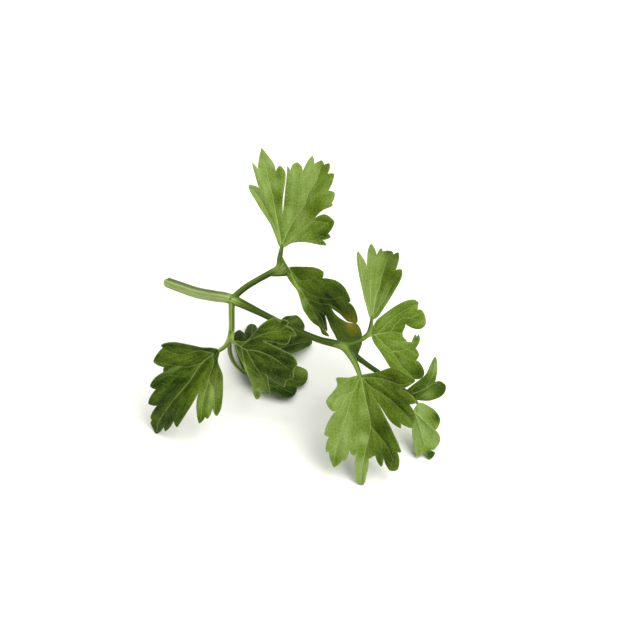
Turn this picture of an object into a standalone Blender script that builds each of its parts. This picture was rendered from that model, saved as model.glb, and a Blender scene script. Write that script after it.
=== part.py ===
"""A cut sprig of flat-leaf parsley: one leaf with a branching stalk and ten toothed leaflets.

It lies as picked, propped on the tips of its lower leaflets. Metres, +Z up, the surface at Z = 0,
and the origin at the middle of the bottom of the sprig's box. Sizes below are in millimetres.
"""
import math

import bpy
from mathutils import Matrix, Vector, geometry

NAME = "parsley_sprig"
MM = 0.001
SPRIG_AT = (7.4, -2.65, 0.33)    # where the sprig stands, so the middle of its base is the origin

BLADE_THICKNESS = 0.4            # a leaflet's blade
BLADE_STEP = 3.2                 # spacing of the points inside a blade
BLADE_EDGE_CLEAR = 1.1           # how far those points keep from the margin

STALK_RADIUS = 1.6               # the stalk where it was cut
AXIS_RADIUS = 1.0                # the same stalk between its two forks
TIP_RADIUS = 0.75                # and at its far end
BRANCH_RADIUS = 0.95             # a side branch
PETIOLE_RADIUS = 0.6             # the short stalk of a leaflet
TUBE_SPACING = 2.4               # between the points of a stalk

# The colours and roughness of the two kinds of tissue
BLADE_GREEN = (0.10, 0.22, 0.02, 1.0)
STALK_GREEN = (0.24, 0.40, 0.10, 1.0)
BLADE_ROUGHNESS = 0.45
STALK_ROUGHNESS = 0.4

# Each stalk: its route as (x, y, z, radius), and how far short of the route its two ends stop.
STALKS = {
    "main_stalk": dict(trim=(0, 2.4), route=[
        (-48, 24, 28, STALK_RADIUS), (-43, 19, 30.5, STALK_RADIUS), (-37.5, 13.5, 33.5, STALK_RADIUS),
        (-32, 8.5, 37, STALK_RADIUS), (-26.5, 4.5, 39.5, 1.5), (-17.5, 2, 36, AXIS_RADIUS),
        (-9, -1, 33, AXIS_RADIUS), (-0.5, -4, 31, AXIS_RADIUS), (7, -5.5, 29.5, 1.2),
        (12, -7.5, 26, 0.85), (17, -9.5, 23, TIP_RADIUS), (23.5, -12, 19.5, TIP_RADIUS),
        (28.5, -14.5, 16, PETIOLE_RADIUS)]),
    "upper_branch": dict(trim=(3.1, 0.6), route=[
        (-26.5, 4.5, 39.5, BRANCH_RADIUS), (-22.5, 6.5, 42, BRANCH_RADIUS),
        (-18.5, 8.5, 43.5, BRANCH_RADIUS), (-15, 10, 45, 1.0), (-12.5, 11.5, 46, 1.0), (-12, 13.5, 48.5, 0.8),
        (-11.5, 15, 50, PETIOLE_RADIUS)]),
    "arched_leaf_stalk": dict(trim=(1.4, 0.6), route=[
        (-12.5, 11.5, 46, PETIOLE_RADIUS), (-9.5, 11.5, 45, PETIOLE_RADIUS)]),
    "lower_branch": dict(trim=(3.0, 0.6), route=[
        (-26.5, 4.5, 39.5, BRANCH_RADIUS), (-26.5, 1.5, 36.5, BRANCH_RADIUS),
        (-26.5, -1.5, 33.5, BRANCH_RADIUS), (-27, -4, 31, BRANCH_RADIUS),
        (-28.5, -5.5, 29.5, PETIOLE_RADIUS), (-30, -6.5, 28.5, PETIOLE_RADIUS)]),
    "right_branch": dict(trim=(3.0, 0.6), route=[
        (7, -5.5, 29.5, 0.75), (11.5, -4.5, 31, 0.75), (14, -3.5, 32, 0.75),
        (15, -2, 33, 0.75), (15.5, -0.5, 35, PETIOLE_RADIUS)]),
    "front_leaf_stalk": dict(trim=(4.8, 0.6), route=[
        (7, -5.5, 29.5, BRANCH_RADIUS), (9.5, -8, 27.5, BRANCH_RADIUS), (11, -10, 25.5, BRANCH_RADIUS),
        (11.5, -11.5, 23.5, 0.6)]),
    "floor_leaf_stalk": dict(trim=(2.1, 0.3), route=[
        (-27, -4, 31, PETIOLE_RADIUS), (-27.5, -3, 25, PETIOLE_RADIUS), (-26.5, 0.5, 16, PETIOLE_RADIUS),
        (-24, 6, 6.2, PETIOLE_RADIUS)]),
}

# Each leaflet: base is where its stalk ends, aim is (heading, climb, roll) in degrees of its midrib.
# The outline is flat, +Y along the midrib and +X to the right of it, tooth by tooth from the base.
# A bend is (crease point, direction it works towards, angle, radius): the blade past the crease
# rolls up by the angle, or down if it is negative.
LEAFLETS = {
    "leaf_top": dict(base=(-11.5, 15.5, 50.5), aim=(83, 41, 10), bends=[
        ((0, 21), 90, -24, 12), ((6, 14), 45, -22, 12), ((1, 0), 0, 22, 5), ((-1, 0), 180, 16, 5)],
        outline=[
        (-0.5, 0), (-4, 6.5), (-10.5, 14.5), (-12, 17.5), (-8.5, 17), (-11.5, 24.5), (-9.5, 22.5),
        (-8, 30.5), (-5, 26.5), (-4, 22.5), (-2.5, 25), (-1, 22.5), (-1, 14), (-0.5, 8.5), (-0.5, 25),
        (0.5, 23.5), (2.5, 27.5), (4, 23.5), (6, 31.5), (7, 28.5), (9, 30.5), (10, 29), (11.5, 29.5),
        (11.5, 24.5), (13.5, 24.5), (12.5, 18.5), (14.5, 18), (14, 14.5), (14.5, 14), (11.5, 12),
        (7, 7.5), (9, 9.5), (12.5, 11), (15.5, 9), (14, 5), (15, 4), (12.5, 3), (14, 1.5), (7.5, 2),
        (3, 1.5), (0.5, 0)]),
    "leaf_arched": dict(base=(-9.5, 11.5, 45), aim=(-33, -57, 7), bends=[
        ((0, 0), 180, 62, 1.2), ((0, 6), 70, -35, 22)],
        outline=[
        (-0.5, -0.5), (-7, 1.5), (-9, 3), (-10, 4.5), (-8.5, 6.5), (-13, 9), (-14, 10.5), (-14.5, 14),
        (-13.5, 14), (-15, 15.3), (-15.6, 17.5), (-15.3, 19.34), (-13.5, 19.36), (-12, 19),
        (-9.8, 16.9), (-7.6, 15.1), (-8.6, 17), (-9.8, 18.2), (-11.7, 19.3), (-13.5, 19.54),
        (-15.4, 19.58), (-16.6, 21.7), (-16.5, 26),
        (-13, 36.5), (-10.5, 33), (-4, 15), (-5, 19), (-5, 24.5), (-3, 21.5), (-2, 17.5),
        (-3.5, 22.5), (-5.5, 27), (-3.5, 26.5), (-2.5, 23.5), (-1, 22), (1.5, 14), (1, 7), (1.5, 1)]),
    "leaf_left": dict(base=(-30.5, -6.5, 28.5), aim=(-153, -45, -20), bends=[
        ((0, 20), 90, -20, 14), ((0.5, 0), 0, 24, 2.5), ((-2, 4), 180, -20, 4)],
        outline=[
        (1.5, 0), (4.5, 2.5), (12, 7), (14.5, 10.5), (13.5, 11), (13, 16.5), (9.5, 15.5), (8.5, 17),
        (5.5, 11.5), (8.5, 16.5), (9.5, 20), (9, 23), (7, 22.5), (6, 29), (3.5, 27.5), (2.5, 33.5),
        (2, 33.5), (0.5, 37), (-1, 32), (-3.5, 32.5), (-3.5, 27), (-5.5, 28), (-4, 15), (-2.5, 10.5),
        (-5, 16.5), (-7, 19), (-10, 21.5), (-10, 18.5), (-11, 18.5), (-10, 15), (-12.5, 16),
        (-12, 13), (-6, 4.5), (-2, 2), (-0.5, -0.5)]),
    "leaf_inner": dict(base=(-26, -5.5, 31.5), aim=(-20, -14, 60), bends=[
        ((2, 12), 20, -32, 9), ((-4, 10), 150, -8, 10), ((0, 0), 180, 8, 3),
        ((1.6, 4), -48, 28, 3)],
        outline=[
        (-0.6, 0.4), (-1.6, 3.2), (-5.4, 4.8), (-9, 6), (-11.6, 7.8), (-13, 9.6), (-12, 10.8),
        (-13, 11.2), (-13.2, 13.2), (-11.6, 13.2), (-11.2, 15.4), (-9.8, 17), (-9.2, 15.4),
        (-8, 15.6), (-6.4, 15.4), (-5.6, 13.6), (-5.4, 11.6), (-4.4, 8.4), (-3.6, 18.4), (-1.6, 20.4),
        (0.6, 20), (3.4, 21), (5.2, 19.4), (9, 19.4), (8.2, 16.4), (6, 13), (10, 14.8), (15, 16.4),
        (12.8, 12.8), (16.6, 15.2), (11, 10.6), (5.8, 6), (2, 2)]),
    "leaf_floor": dict(base=(-24, 6, 5.5), aim=(62, 0, -3), bends=[
        ((0, 15), 90, -16, 20), ((3, 0), 0, -22, 12), ((-3, 0), 180, -14, 12)],
        outline=[
        (0.5, 0), (5, -0.5), (11, -2), (12.5, -1), (15, -1), (17, 0.5), (17.5, 3), (16.5, 5.5),
        (18, 8), (17.5, 11), (16, 13), (12, 12), (8, 11.5), (8.5, 15), (10.5, 18.5), (11.5, 22),
        (12, 25), (11, 27), (8.5, 27), (4, 24), (7, 28), (6, 31), (3, 33.5), (1, 35), (-1, 36),
        (-2, 35), (-3.5, 32.5), (-3.2, 29), (-2.5, 22), (-3.5, 19), (-6, 18.5), (-8.5, 22),
        (-12, 24.5), (-12.5, 24), (-11.5, 20), (-9.5, 16.5), (-11, 17.5), (-13, 18.5), (-14, 17),
        (-12.5, 14), (-9.5, 10), (-5, 5), (-1, 1)]),
    "leaf_upright": dict(base=(15.5, 0, 35), aim=(76, 42, 12), bends=[
        ((0, 19), 90, 28, 5), ((0, 0), 0, 38, 1.5), ((0, 0), 180, 30, 2.5)],
        outline=[
        (-0.5, 0.5), (-6, 10.5), (-8.5, 16), (-9, 19.5), (-4.5, 15), (-5.5, 19.5), (-5.5, 22.5),
        (-2, 19.5), (-1.5, 22), (-0.5, 21), (3, 21.5), (3.5, 20.5), (5.5, 21.5), (5, 16), (7, 16.5),
        (7.5, 14), (2, 1.5), (0.5, 0.5)]),
    "leaf_hooked": dict(base=(15.5, -2.5, 31.5), aim=(10, -12, 49), bends=[
        ((-2, 11), 150, -26, 8), ((2, 10), 30, -22, 8), ((0, 0), 0, 10, 3), ((0, 0), 180, 12, 3)],
        outline=[
        (-4, 0.5), (-7, 3.5), (-10.5, 10.5), (-11, 14.5), (-10.5, 15), (-10.5, 15.5), (-8, 15),
        (-8, 16.5), (-4.5, 17.5), (-3, 17), (-2, 15), (-3.5, 10.5), (0, 10), (2, 11.5), (2, 13),
        (-0.5, 14), (0.5, 14.5), (-0.5, 15), (1.5, 15.5), (4, 14.5), (6, 16), (7.5, 15), (9, 17),
        (12, 18.5), (13.5, 17), (13.5, 15), (10.5, 7), (5, 2.5), (1, 0)]),
    "leaf_front": dict(base=(12, -12, 23.5), aim=(-88, -41, 1), bends=[
        ((0, 22), 90, -10, 16), ((7, 9), 20, -18, 8), ((0.5, 0), 0, 22, 2.5),
        ((-0.5, 0), 180, 26, 4)],
        outline=[
        (1.5, 0), (4, 0.5), (8, 0.5), (7.5, 2.5), (11, 7.5), (9, 10.5), (7.5, 10), (10, 13),
        (11.5, 17.5), (10, 18), (11, 22.5), (10, 22.5), (8.5, 27.5), (6, 25), (5.5, 25.5), (4, 22),
        (2.5, 24), (1.6, 23), (1.9, 30.5), (1.5, 32.6), (0.6, 33.2), (-0.3, 32.2), (-0.9, 30),
        (-1.6, 25), (-3.5, 24), (-4, 24),
        (-5.5, 27.5), (-6.5, 24.5), (-8, 28.5), (-10.5, 28.5), (-11.5, 25), (-11, 23), (-12.5, 23),
        (-8, 13), (-3.2, 4.8), (-9.5, 14), (-12.5, 16), (-12.5, 14.5), (-16, 16), (-17.5, 13),
        (-15.5, 9), (-18, 8.5), (-16, 6), (-12.5, 4.5), (-17.5, 2), (-14, -0.5), (-10.5, -2),
        (-6, -1)]),
    "leaf_end_upper": dict(base=(29, -14, 16), aim=(27, 38, -132), bends=[
        ((-1, 7), 140, -35, 3), ((0, 0), 0, 14, 2), ((0, 0), 180, 14, 2)],
        outline=[
        (0.5, -1), (3.5, -1), (3, 7), (5, 13), (3, 12), (-0.5, 7.5), (-1.5, 9), (-3.5, 9.5),
        (-5, 7.5), (-5, 4), (-4, 2)]),
    "leaf_end_lower": dict(base=(29.5, -15.5, 15), aim=(-39, -56, -147), bends=[
        ((-2, 12), 130, -30, 4), ((2, 6), 0, 12, 3), ((0, 0), 180, 10, 2)],
        outline=[
        (0.5, 0), (2, 1.5), (4, 5.5), (4, 8.5), (1.5, 10.5), (1, 10.5), (1.5, 11.5), (1, 14.5),
        (-2, 16), (-3.5, 15), (-2, 17), (-4.5, 18), (-5, 16), (-4.5, 15), (-7.5, 15.5), (-6.5, 10.5),
        (-2, 1.5)]),
}


def clear_scene():
    for item in list(bpy.data.objects):
        bpy.data.objects.remove(item, do_unlink=True)


def tissue(name, colour, roughness):
    """A plant tissue as a plain Principled material."""
    material = bpy.data.materials.new(name)
    material.use_nodes = True
    shader = material.node_tree.nodes["Principled BSDF"]
    shader.inputs["Base Color"].default_value = colour
    shader.inputs["Roughness"].default_value = roughness
    shader.inputs["Metallic"].default_value = 0.0
    return material


def smooth_route(route, spacing):
    """Points about a spacing apart on a Catmull-Rom curve through the route, each with its radius."""
    points = [Vector(point) for point in route]
    points = [2 * points[0] - points[1]] + points + [2 * points[-1] - points[-2]]
    curve = []
    for a, b, c, d in zip(points, points[1:], points[2:], points[3:]):
        steps = max(1, round((c - b).to_3d().length / spacing))
        for i in range(steps):
            t = i / steps
            curve.append(0.5 * (2 * b + (c - a) * t + (2 * a - 5 * b + 4 * c - d) * t * t
                                + (3 * b - a - 3 * c + d) * t * t * t))
    return curve + [points[-2]]


def shortened(points, trim):
    """The points with a length cut off where the route starts, for the gap to the piece it grows on."""
    while (points[1] - points[0]).to_3d().length < trim:
        trim -= (points[1] - points[0]).to_3d().length
        points.pop(0)
    step = points[1] - points[0]
    points[0] = points[0] + step * (trim / step.to_3d().length)
    return points


def make_stalk(name, route, trim, material, collection, parent):
    """A stalk: a round tube that swells and tapers along its route."""
    points = shortened(smooth_route(route, TUBE_SPACING), trim[0])
    points = shortened(points[::-1], trim[1])[::-1]
    curve = bpy.data.curves.new(name, "CURVE")
    curve.dimensions = "3D"
    curve.bevel_depth = MM
    curve.bevel_resolution = 2
    curve.use_fill_caps = True
    spline = curve.splines.new("POLY")
    spline.points.add(len(points) - 1)
    for spline_point, point in zip(spline.points, points):
        spline_point.co = (*(point.to_3d() * MM), 1.0)
        spline_point.radius = point.w
    add_piece(name, curve, material, collection, parent)


def inside(point, outline):
    """Whether a point is inside a closed outline, by counting the sides to its right."""
    hit = False
    for (ax, ay), (bx, by) in zip(outline, outline[1:] + outline[:1]):
        if (ay > point[1]) != (by > point[1]):
            if point[0] < ax + (point[1] - ay) / (by - ay) * (bx - ax):
                hit = not hit
    return hit


def margin_distance(point, outline):
    """How far a point is from the nearest side of the outline."""
    nearest = math.inf
    for a, b in zip(outline, outline[1:] + outline[:1]):
        _, share = geometry.intersect_point_line(Vector((*point, 0)), Vector((*a, 0)), Vector((*b, 0)))
        share = min(max(share, 0.0), 1.0)
        foot = Vector(a).lerp(Vector(b), share)
        nearest = min(nearest, (foot - Vector(point)).length)
    return nearest


def blade_points(outline):
    """Rows of points inside the outline, each row shifted by half a step from the last."""
    lows = [min(p[axis] for p in outline) for axis in (0, 1)]
    highs = [max(p[axis] for p in outline) for axis in (0, 1)]
    points = []
    row_height = BLADE_STEP * math.sqrt(0.75)
    for row in range(int((highs[1] - lows[1]) / row_height) + 1):
        for column in range(int((highs[0] - lows[0]) / BLADE_STEP) + 1):
            point = (lows[0] + (column + 0.5 * (row % 2)) * BLADE_STEP, lows[1] + row * row_height)
            if inside(point, outline) and margin_distance(point, outline) > BLADE_EDGE_CLEAR:
                points.append(point)
    return points


def bent(point, crease, toward, angle, radius):
    """The point after the blade past the crease has rolled over a cylinder of the given radius."""
    ahead = Vector((math.cos(math.radians(toward)), math.sin(math.radians(toward))))
    along = Vector((-ahead.y, ahead.x))
    offset = point.to_2d() - Vector(crease)
    past = offset.dot(ahead)
    if past <= 0:
        return point
    turn = math.radians(abs(angle))
    side = math.copysign(1, angle)
    height = point.z * side
    rolled = min(past / radius, turn)
    straight = max(past - radius * turn, 0.0)
    past = (radius - height) * math.sin(rolled) + straight * math.cos(turn)
    height = radius - (radius - height) * math.cos(rolled) + straight * math.sin(turn)
    flat = Vector(crease) + ahead * past + along * offset.dot(along)
    return Vector((flat.x, flat.y, height * side))


def make_leaflet(name, base, aim, bends, outline, material, collection, parent):
    """A leaflet: its toothed outline filled with triangles, bent, and given the blade's thickness."""
    points = [Vector(point) for point in outline + blade_points(outline)]
    margin = [list(range(len(outline)))]
    flat, _, faces, _, _, _ = geometry.delaunay_2d_cdt(points, [], margin, 1, 1e-6)
    sheet = []
    for point in flat:
        point = point.to_3d()
        for bend in bends:
            point = bent(point, *bend)
        sheet.append(point * MM)
    mesh = bpy.data.meshes.new(name)
    mesh.from_pydata(sheet, [], faces)
    piece = add_piece(name, mesh, material, collection, parent)
    heading, climb, roll = (math.radians(value) for value in aim)
    turn = (Matrix.Rotation(heading - math.pi / 2, 3, "Z") @ Matrix.Rotation(climb, 3, "X")
            @ Matrix.Rotation(roll, 3, "Y"))
    piece.location = Vector(base) * MM
    piece.rotation_euler = turn.to_euler()
    wall = piece.modifiers.new("blade", "SOLIDIFY")
    wall.thickness = BLADE_THICKNESS * MM
    wall.offset = 0


def add_piece(name, data, material, collection, parent):
    piece = bpy.data.objects.new(name, data)
    data.materials.append(material)
    collection.objects.link(piece)
    piece.parent = parent
    return piece


clear_scene()
sprig_collection = bpy.data.collections.new(NAME)
bpy.context.scene.collection.children.link(sprig_collection)
sprig = bpy.data.objects.new(NAME, None)
sprig.location = Vector(SPRIG_AT) * MM
sprig_collection.objects.link(sprig)

for stalk_name, stalk in STALKS.items():
    stalk_tissue = tissue(stalk_name, STALK_GREEN, STALK_ROUGHNESS)
    make_stalk(stalk_name, stalk["route"], stalk["trim"], stalk_tissue, sprig_collection, sprig)

for leaf_name, leaf in LEAFLETS.items():
    blade_tissue = tissue(leaf_name, BLADE_GREEN, BLADE_ROUGHNESS)
    make_leaflet(leaf_name, leaf["base"], leaf["aim"], leaf["bends"], leaf["outline"], blade_tissue,
                 sprig_collection, sprig)
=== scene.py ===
"""The looks of a cut sprig of flat-leaf parsley: its ribbed stalk and ten veined leaflets."""
import math

import bpy
import numpy as np
from mathutils import Matrix, Vector, geometry, kdtree, noise


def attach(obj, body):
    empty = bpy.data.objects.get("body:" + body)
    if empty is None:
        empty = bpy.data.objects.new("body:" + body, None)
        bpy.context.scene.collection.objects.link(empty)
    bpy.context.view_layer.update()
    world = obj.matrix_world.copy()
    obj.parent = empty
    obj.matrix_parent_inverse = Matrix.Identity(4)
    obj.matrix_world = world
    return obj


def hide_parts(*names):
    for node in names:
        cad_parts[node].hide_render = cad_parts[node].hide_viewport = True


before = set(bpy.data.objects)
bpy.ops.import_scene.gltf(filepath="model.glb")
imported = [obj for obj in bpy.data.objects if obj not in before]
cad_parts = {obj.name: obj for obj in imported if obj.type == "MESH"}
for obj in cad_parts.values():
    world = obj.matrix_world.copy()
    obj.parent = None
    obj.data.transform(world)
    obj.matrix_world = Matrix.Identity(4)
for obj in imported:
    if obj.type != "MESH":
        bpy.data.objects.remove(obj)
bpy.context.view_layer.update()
bpy.ops.object.select_all(action="DESELECT")


# ---- The stalk ----
# A parsley leaf stalk forks twice, and each fork ends in the short stalks that carry the leaflets.
# It is one piece of juicy, finely ribbed green tissue, with a shallow channel along its upper side.
# It grew as one, so its tubes are fused, and most of them run on a little way under a leaflet.
MM = 0.001
SPRIG_AT = np.array((7.4, -2.65, 0.33))    # where the sprig stands; all sizes below are millimetres

# Where each leaflet sits on the stalk, and the heading, climb and roll of its midrib in degrees.
SEATS = {
    "leaf_top": ((-11.5, 15.5, 50.5), (83, 41, 10)),
    "leaf_arched": ((-9.5, 11.5, 45), (-33, -57, 7)),
    "leaf_left": ((-30.5, -6.5, 28.5), (-153, -45, -20)),
    "leaf_inner": ((-26, -5.5, 31.5), (-20, -14, 60)),
    "leaf_floor": ((-24, 6, 5.5), (62, 0, -3)),
    "leaf_upright": ((15.5, 0, 35), (76, 42, 12)),
    "leaf_hooked": ((15.5, -2.5, 31.5), (10, -12, 49)),
    "leaf_front": ((12, -12, 23.5), (-88, -41, 1)),
    "leaf_end_upper": ((29, -14, 16), (27, 38, -132)),
    "leaf_end_lower": ((29.5, -15.5, 15), (-39, -56, -147)),
}

# The tubes: the ribs round each, how pale it is from start to end, which way its channel faces, the
# leaflet it runs on under, and its route as (x, y, z, radius). The main stalk is pale up to the fork.
# The paleness is partly the stalk's own colour and partly painted light and shade.
UPWARDS, RIGHTWARDS, FORWARDS = (0, 0.2, 0.98), (0.6, -0.57, 0.57), (0.29, -0.93, 0.23)
MAIN_PALENESS = (0.95,) * 10 + (0.75, 0.15) + (0.08,) * 10 + (0.03,) * 9
TUBES = [
    (9, MAIN_PALENESS, UPWARDS, None,
     [(-48, 24, 28, 1.6), (-43, 19, 30.5, 1.68), (-37.5, 13.5, 33.5, 1.7), (-32, 8.5, 37, 1.7),
      (-26.5, 4.5, 39.5, 1.5), (-17.5, 2, 36, 1.0), (-9, -1, 33, 0.98), (-0.5, -4, 31, 1.0),
      (7, -5.5, 29.5, 1.2), (12, -7.5, 26, 0.85), (17, -9.5, 23, 0.75), (23.5, -12, 19.5, 0.65),
      (28.5, -14.5, 16, 0.55)]),
    (7, (0.2, 0.15, 0.3), FORWARDS, "leaf_top",
     [(-26.5, 4.5, 39.5, 0.95), (-22.5, 6.7, 42.1, 0.92), (-18.5, 8.6, 43.7, 0.9),
      (-15, 10, 45.05, 0.95), (-12.5, 11.5, 46, 0.9), (-12, 13.5, 48.5, 0.78), (-11.5, 15.5, 50.3, 0.6)]),
    (7, (0.2, 0.0), FORWARDS, None,
     [(-15, 9.8, 44.7, 0.6), (-12.4, 10.1, 44.3, 0.55), (-9.9, 10.6, 44.0, 0.5)]),
    (5, (0.4, 0.6), FORWARDS, "leaf_arched",
     [(-12, 14, 49, 0.5), (-11.3, 13.2, 47.6, 0.5), (-10.3, 12.2, 46, 0.55), (-9.5, 11.5, 45, 0.6)]),
    (7, (0.6, 0.5), RIGHTWARDS, "leaf_left",
     [(-26.5, 4.5, 39.5, 0.95), (-26.5, 1.5, 36.5, 0.92), (-26.5, -1.5, 33.5, 0.9), (-27, -4, 31, 0.95),
      (-28.5, -5.5, 29.5, 0.65), (-30.5, -6.5, 28.4, 0.55)]),
    (6, (0.5, 0.7), UPWARDS, "leaf_inner",
     [(-26.6, -2.5, 32.6, 0.7), (-26.7, -4.2, 31.6, 0.65), (-26, -5.5, 31.4, 0.55)]),
    (6, (0.6, 0.3), RIGHTWARDS, "leaf_floor",
     [(-26.6, -2, 33, 0.6), (-27.2, -4, 29, 0.7), (-27.3, -3, 24, 0.68), (-26.5, 0.5, 16, 0.62),
      (-24.8, 4.5, 8.5, 0.6), (-24, 6, 5.6, 0.5)]),
    (6, (0.15, 0.2, 0.4), UPWARDS, "leaf_upright",
     [(4, -5, 30.1, 0.8), (7.5, -5.2, 29.9, 0.75), (11.5, -4.5, 31, 0.72), (14, -3.5, 32, 0.75),
      (15, -2, 33, 0.72), (15.5, 0, 34.9, 0.55)]),
    (5, (0.5, 0.5), UPWARDS, "leaf_hooked",
     [(13, -4, 31.6, 0.55), (14.4, -3.3, 31.8, 0.6), (15.5, -2.5, 31.4, 0.5)]),
    (6, (0.35, 0.65), UPWARDS, "leaf_front",
     [(4, -5, 30.1, 0.9), (7.2, -5.9, 29.4, 1.05), (9.5, -8, 27.5, 0.98), (11, -10, 25.5, 0.82),
      (12, -12, 23.3, 0.62)]),
    (5, (0.0, 0.1), UPWARDS, None, [(25, -12.6, 18.4, 0.5), (28.2, -14.1, 16.3, 0.5), (29, -14, 16, 0.45)]),
    (5, (0.0, 0.2), UPWARDS, None,
     [(25, -12.6, 18.4, 0.5), (28.4, -14.7, 15.9, 0.5), (29.5, -15.5, 15, 0.45)]),
]
TUBE_STEP, TUBE_SIDES = 0.5, 40
RIB_HEIGHT, CHANNEL_DEPTH = 0.07, 0.22          # both are shares of the radius
CHANNEL_SPREAD, TINT_SPREAD = 0.45, 0.55        # radians, of the channel and of its darker green
# A tube's run on under its leaflet: how far up the blade, how far below it, and the radius.
RUN_ON = [(1.5, -0.35, 0.45), (3.2, -0.38, 0.34), (5.0, -0.45, 0.2)]
# The web of tissue that fills the upper fork, between two sides that part from one corner.
WEB_SIDES = np.array([[(-15, 9.5, 44.5), (-13, 11, 45.6), (-12, 13.8, 48.8)],
                      [(-15, 10.0, 44.8), (-12.5, 10.2, 44.4), (-9.8, 10.7, 44.1)]])
WEB_THICK, WEB_ROWS, STRAND = 0.55, 9, 0.36     # strand: the radius of the ribs that fan out over it
FORKS = [(-26.5, 4.5, 39.5), (-26.8, -4, 31.2), (-12.8, 11.2, 45.8), (7, -5.5, 29.5), (14.8, -2.8, 32)]
FORK_CLEAR, FORK_PALE = 2.4, 2.0                # how far a fork clears the channel's tint, and is pale
CUT_AT, CUT_FACES, CUT_REACH = np.array((-48, 24, 28)), np.array((0.66, -0.67, 0.34)), 0.25
STALK_VOXEL = 0.15 * MM


def seated(leaf, spots):
    """Places spots, given in a leaflet's own flat frame, on the sprig."""
    base, aim = SEATS[leaf]
    heading, climb, roll = (math.radians(value) for value in aim)
    turn = (Matrix.Rotation(heading - math.pi / 2, 3, "Z") @ Matrix.Rotation(climb, 3, "X")
            @ Matrix.Rotation(roll, 3, "Y"))
    return np.asarray(spots, float) @ np.array(turn).T + base


def smooth_route(route, spacing):
    """Points about a spacing apart on a Catmull-Rom curve through the route."""
    points = [Vector(point) for point in route]
    points = [2 * points[0] - points[1]] + points + [2 * points[-1] - points[-2]]
    curve = []
    for a, b, c, d in zip(points, points[1:], points[2:], points[3:]):
        steps = max(1, round((c - b).length / spacing))
        for t in (i / steps for i in range(steps)):
            curve.append(0.5 * (2 * b + (c - a) * t + (2 * a - 5 * b + 4 * c - d) * t * t
                                + (3 * b - a - 3 * c + d) * t * t * t))
    return curve + [points[-2]]


def as_object(corners, faces):
    """Makes corners and faces an object, selected and active, ready to join."""
    mesh = bpy.data.meshes.new("tube")
    mesh.from_pydata([(Vector(corner) + Vector(SPRIG_AT)) * MM for corner in corners], [], faces)
    tube = bpy.data.objects.new("tube", mesh)
    bpy.context.scene.collection.objects.link(tube)
    tube.select_set(True)
    bpy.context.view_layer.objects.active = tube


def ribbed_tube(route, ribs, paleness, facing):
    """A tube with ribs along it and a channel on the side that faces a direction. Returns its rings."""
    points = smooth_route(route, TUBE_STEP)
    rings, up, walked = [], Vector(facing), 0.0
    for i, point in enumerate(points):
        here = point.to_3d()
        before, after = points[max(i - 1, 0)].to_3d(), points[min(i + 1, len(points) - 1)].to_3d()
        ahead = (after - before).normalized()
        up = (up - ahead * up.dot(ahead)).normalized()
        walked += (here - before).length
        pale = np.interp(i / (len(points) - 1), np.linspace(0, 1, len(paleness)), paleness)
        rings.append((here, ahead.cross(up), up, point.w, walked, ribs, pale))
    angles = np.linspace(0, 2 * math.pi, TUBE_SIDES, endpoint=False)
    channel = np.exp(-((angles - math.pi / 2) / CHANNEL_SPREAD) ** 2)
    profile = 1 + RIB_HEIGHT * np.cos(angles * ribs) - CHANNEL_DEPTH * channel
    corners = []
    for here, side, upward, radius, _, _, _ in rings:
        for angle, out in zip(angles, profile):
            corners.append(here + (side * math.cos(angle) + upward * math.sin(angle)) * out * radius)
    n, last = TUBE_SIDES, len(rings) - 1
    faces = [(r * n + i, r * n + (i + 1) % n, (r + 1) * n + (i + 1) % n, (r + 1) * n + i)
             for r in range(last) for i in range(n)]
    faces += [tuple(range(n - 1, -1, -1)), tuple(range(last * n, last * n + n))]
    as_object(corners, faces)
    return rings


def web_spot(out, across):
    """A spot on the web, from 0 at its corner out to 1, and from 0 across to 1 at its lower side."""
    upper, lower = ((1 - out) ** 2 * a + 2 * out * (1 - out) * b + out * out * c for a, b, c in WEB_SIDES)
    return upper * (1 - across) + lower * across


def web_slab():
    """The web as a thin slab: a grid of spots on either face, and walls round the edge."""
    n = WEB_ROWS
    corner = WEB_SIDES[0, 0]
    facing = Vector(np.cross(web_spot(1, 0) - corner, web_spot(1, 1) - corner)).normalized()
    corners = [Vector(web_spot(out, across)) + facing * lift for lift in (-WEB_THICK / 2, WEB_THICK / 2)
               for out in np.linspace(0.05, 1, n) for across in np.linspace(0, 1, n)]
    faces = []
    for first, order in ((0, -1), (n * n, 1)):
        for a in (first + r * n + c for r in range(n - 1) for c in range(n - 1)):
            faces.append((a, a + 1, a + n + 1, a + n)[::order])
    border = [*range(n - 1), *range(n - 1, n * n - 1, n), *range(n * n - 1, n * n - n, -1),
              *range(n * n - n, 0, -n)]
    faces += [(a, b, b + n * n, a + n * n) for a, b in zip(border, border[1:] + border[:1])]
    return corners, faces


def add_values(mesh, name, values):
    """Stores a number or a vector for each point of a mesh, for its material to read."""
    kind = "FLOAT" if np.ndim(values) == 1 else "FLOAT_VECTOR"
    layer = mesh.attributes.new(name, kind, "POINT")
    layer.data.foreach_set("value" if kind == "FLOAT" else "vector", np.ravel(values).astype(np.float32))


def linear(code):
    """A colour written as sRGB hex, in linear light."""
    channels = [int(code[i:i + 2], 16) / 255 for i in (0, 2, 4)]
    return [c / 12.92 if c <= 0.04045 else ((c + 0.055) / 1.055) ** 2.4 for c in channels] + [1.0]


def add(tree, kind, values=None, links=None, **settings):
    """Adds a node with its settings, the values of its sockets and the sockets that feed it. Sockets that
    share a name go by number: a mix's 0 is its share, 6 and 7 its colours, and a map range's 0 is its
    value, 1 and 2 the range that it comes from, 3 and 4 the one that it goes to."""
    made = tree.nodes.new(kind)
    for setting, value in settings.items():
        setattr(made, setting, value)
    for socket, value in (values or {}).items():
        made.inputs[socket].default_value = value
    for socket, source in (links or {}).items():
        tree.links.new(source, made.inputs[socket])
    return made


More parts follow.
